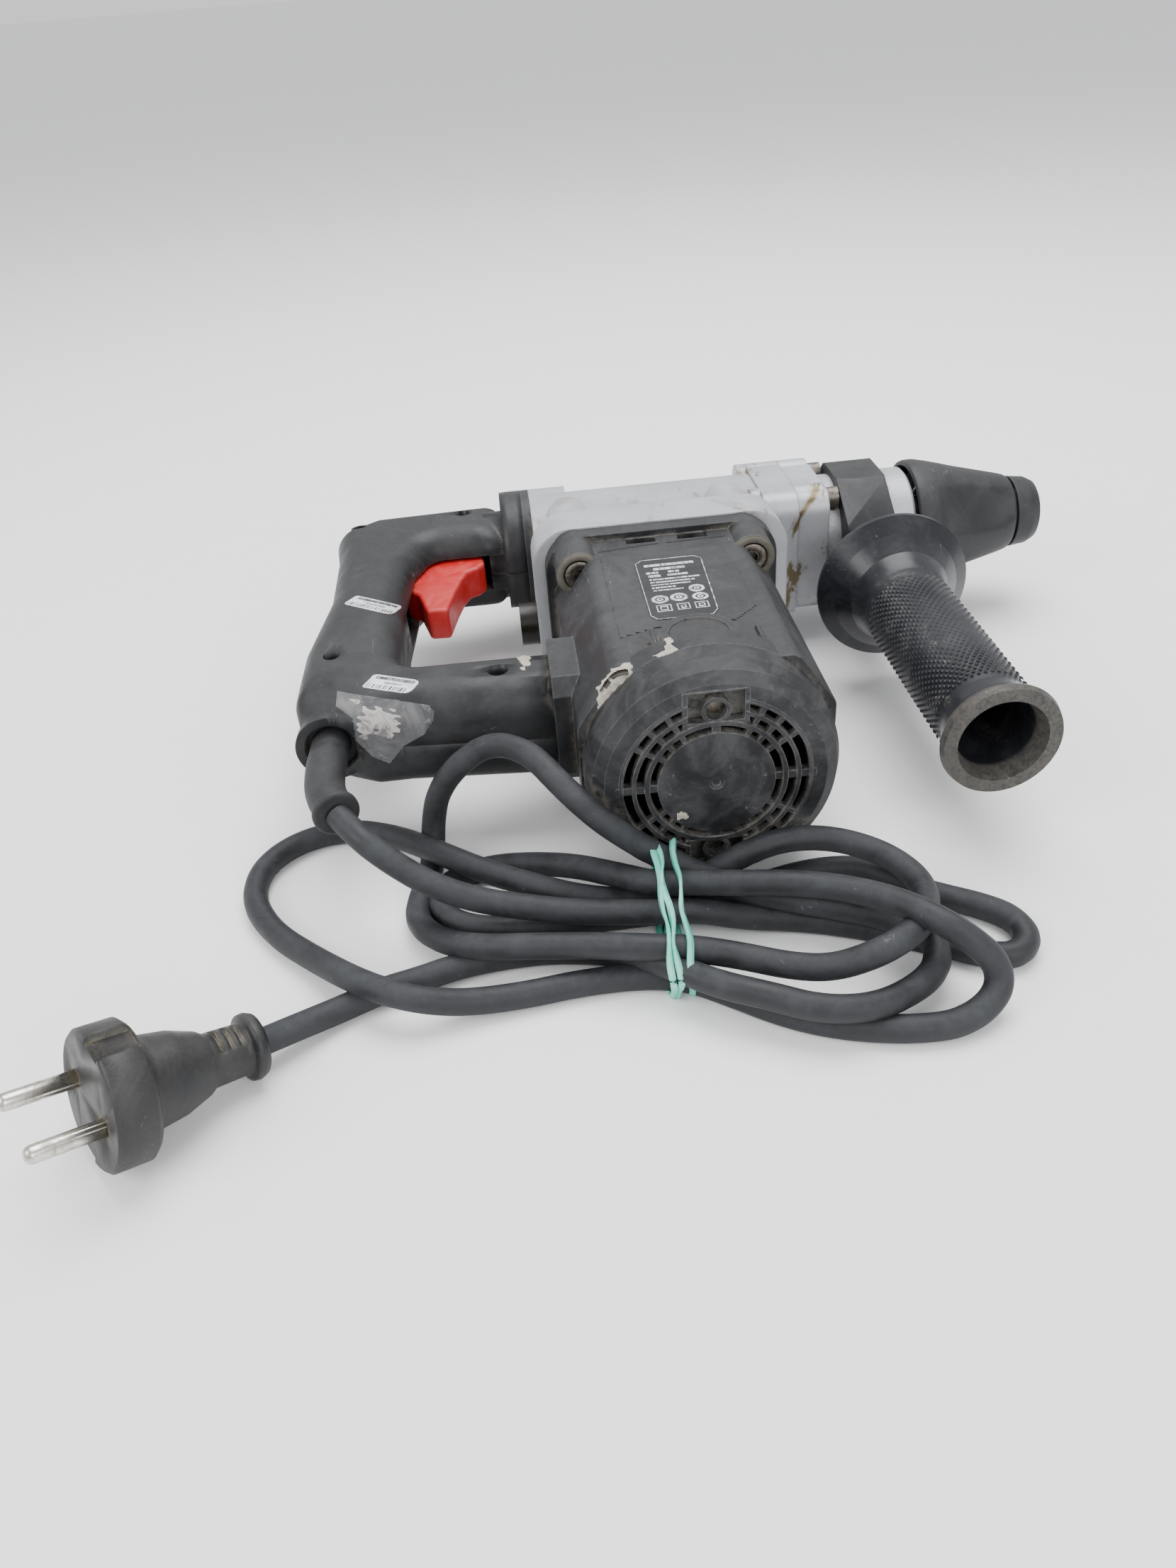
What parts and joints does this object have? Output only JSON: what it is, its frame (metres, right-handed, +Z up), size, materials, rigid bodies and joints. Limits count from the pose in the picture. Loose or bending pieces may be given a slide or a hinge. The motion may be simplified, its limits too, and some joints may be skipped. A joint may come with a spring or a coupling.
{
  "type": "rotary hammer",
  "caption": "Corded rotary hammer with D-handle, barrel-shaped motor set crosswise, pull-back chuck sleeve, swivelling side handle and a tied cord with a round two-pin plug.",
  "frame": {"origin": "Centre of the tool's footprint, on the surface it lies on, measured without its cord.", "axes": "+X runs along the barrel to the tool socket, -Y from the barrel along the motor to its grille, +Z up from the side that the tool lies on."},
  "size_m": [0.3661, 0.3126, 0.0796],
  "materials": {
    "silver_paint": "worn, grease-stained cast metal paint",
    "black_paint": "matt black painted metal",
    "black_plastic": "moulded, dusty and scuffed",
    "red_plastic": "moulded",
    "dark_steel": "blackened steel fasteners",
    "steel": "machined",
    "spring_steel": "drawn wire",
    "bearing_steel": "ground",
    "lamination": "stacked sheet steel",
    "copper": "varnished copper",
    "brass": "turned brass",
    "graphite": "pressed carbon",
    "alloy": "die-cast",
    "rubber": "dusty black rubber",
    "cord_rubber": "dusty black cord sheath",
    "band_rubber": "turquoise rubber bands",
    "pin_nickel": "nickel-plated"
  },
  "bodies": {
    "tool": {"gear_housing": "silver_paint", "front_housing": "silver_paint", "rear_cover": "black_paint", "grease_plug": "black_plastic", "motor_housing": "black_plastic", "end_cap": "black_plastic", "brush_caps": "black_plastic", "handle_shell_right": "black_plastic", "handle_shell_left": "black_plastic", "switch_block": "black_plastic", "nose_screws": "dark_steel", "motor_screws": "dark_steel", "end_cap_screws": "dark_steel", "handle_screws": "dark_steel", "spindle_bearing": "steel", "brush_springs": "spring_steel", "front_motor_bearing": "bearing_steel", "rear_motor_bearing": "bearing_steel", "crank_bearing": "bearing_steel", "intermediate_bearing": "bearing_steel", "stator_core": "lamination", "field_coils": "copper", "brush_holders": "brass", "carbon_brushes": "graphite", "nose_seal": "rubber", "strain_relief": "rubber", "plug_body": "rubber", "cord_lead": "cord_rubber", "cord_arch": "cord_rubber", "cord_tail": "cord_rubber", "cord_hank": "cord_rubber", "cord_tie": "band_rubber", "plug_pins": "pin_nickel"},
    "trigger": {"trigger": "red_plastic", "trigger_spring": "spring_steel"},
    "mode_knob": {"mode_knob": "black_plastic"},
    "armature": {"armature_shaft": "steel", "armature_core": "lamination", "armature_windings": "copper", "commutator": "copper", "fan": "black_plastic"},
    "crank": {"crank_gear": "steel"},
    "intermediate": {"intermediate_gear": "steel", "bevel_pinion": "steel"},
    "spindle": {"bevel_ring_gear": "steel", "hammer_cylinder": "steel", "tool_holder": "steel", "locking_balls": "bearing_steel", "dust_cap": "rubber"},
    "sleeve": {"lock_sleeve": "rubber", "lock_spring": "spring_steel"},
    "piston": {"piston": "alloy", "piston_ring": "rubber", "wrist_pin": "steel"},
    "conrod": {"conrod": "alloy"},
    "striker": {"striker": "steel"},
    "impact_bolt": {"impact_bolt": "steel"},
    "side_handle": {"handle_collar": "black_plastic"},
    "grip": {"side_grip": "black_plastic", "collar_bolt": "steel"}
  },
  "joints": [
    {"name": "armature_spin", "type": "hinge", "parent": "tool", "child": "armature", "pos_m": [-0.0188, -0.04, 0.0398], "axis": [0, 1, 0], "continuous": true},
    {"name": "crank_turn", "type": "hinge", "parent": "tool", "child": "crank", "pos_m": [-0.0408, 0.04, 0.0398], "axis": [0, 1, 0], "continuous": true},
    {"name": "intermediate_turn", "type": "hinge", "parent": "tool", "child": "intermediate", "pos_m": [0.0032, 0.04, 0.0398], "axis": [0, 1, 0], "continuous": true},
    {"name": "spindle_turn", "type": "hinge", "parent": "tool", "child": "spindle", "pos_m": [0.0812, 0.07, 0.0398], "axis": [1, 0, 0], "continuous": true},
    {"name": "sleeve_slide", "type": "slide", "parent": "spindle", "child": "sleeve", "axis": [1, 0, 0], "range_m": [-0.008, 0], "stiffness_N_per_m": 1200, "springref_m": 0.006},
    {"name": "piston_slide", "type": "slide", "parent": "tool", "child": "piston", "axis": [1, 0, 0], "range_m": [-0.016, 0]},
    {"name": "conrod_swing", "type": "hinge", "parent": "piston", "child": "conrod", "pos_m": [-0.0028, 0.07, 0.0398], "axis": [0, 1, 0], "range_deg": [-15.5, 15.5]},
    {"name": "striker_slide", "type": "slide", "parent": "tool", "child": "striker", "axis": [1, 0, 0], "range_m": [-0.006, 0]},
    {"name": "impact_bolt_slide", "type": "slide", "parent": "tool", "child": "impact_bolt", "axis": [1, 0, 0], "range_m": [0, 0.003]},
    {"name": "trigger_pull", "type": "slide", "parent": "tool", "child": "trigger", "axis": [-1, 0, 0], "range_m": [0, 0.006], "stiffness_N_per_m": 900, "springref_m": -0.005},
    {"name": "mode_knob_turn", "type": "hinge", "parent": "tool", "child": "mode_knob", "pos_m": [-0.0128, 0.064, 0.0098], "axis": [0, 0, 1], "range_deg": [-90, 90]},
    {"name": "side_handle_turn", "type": "hinge", "parent": "tool", "child": "side_handle", "pos_m": [0.07245, 0.07, 0.0398], "axis": [1, 0, 0], "continuous": true},
    {"name": "grip_twist", "type": "hinge", "parent": "side_handle", "child": "grip", "pos_m": [0.07245, -0.03, 0.0398], "axis": [0, 1, 0], "range_deg": [-360, 0]}
  ],
  "couplings": [
    {"joint": "crank_turn", "follows": "armature_spin", "ratio": -0.22222},
    {"joint": "intermediate_turn", "follows": "armature_spin", "ratio": -0.22222},
    {"joint": "spindle_turn", "follows": "armature_spin", "ratio": -0.074074}
  ]
}
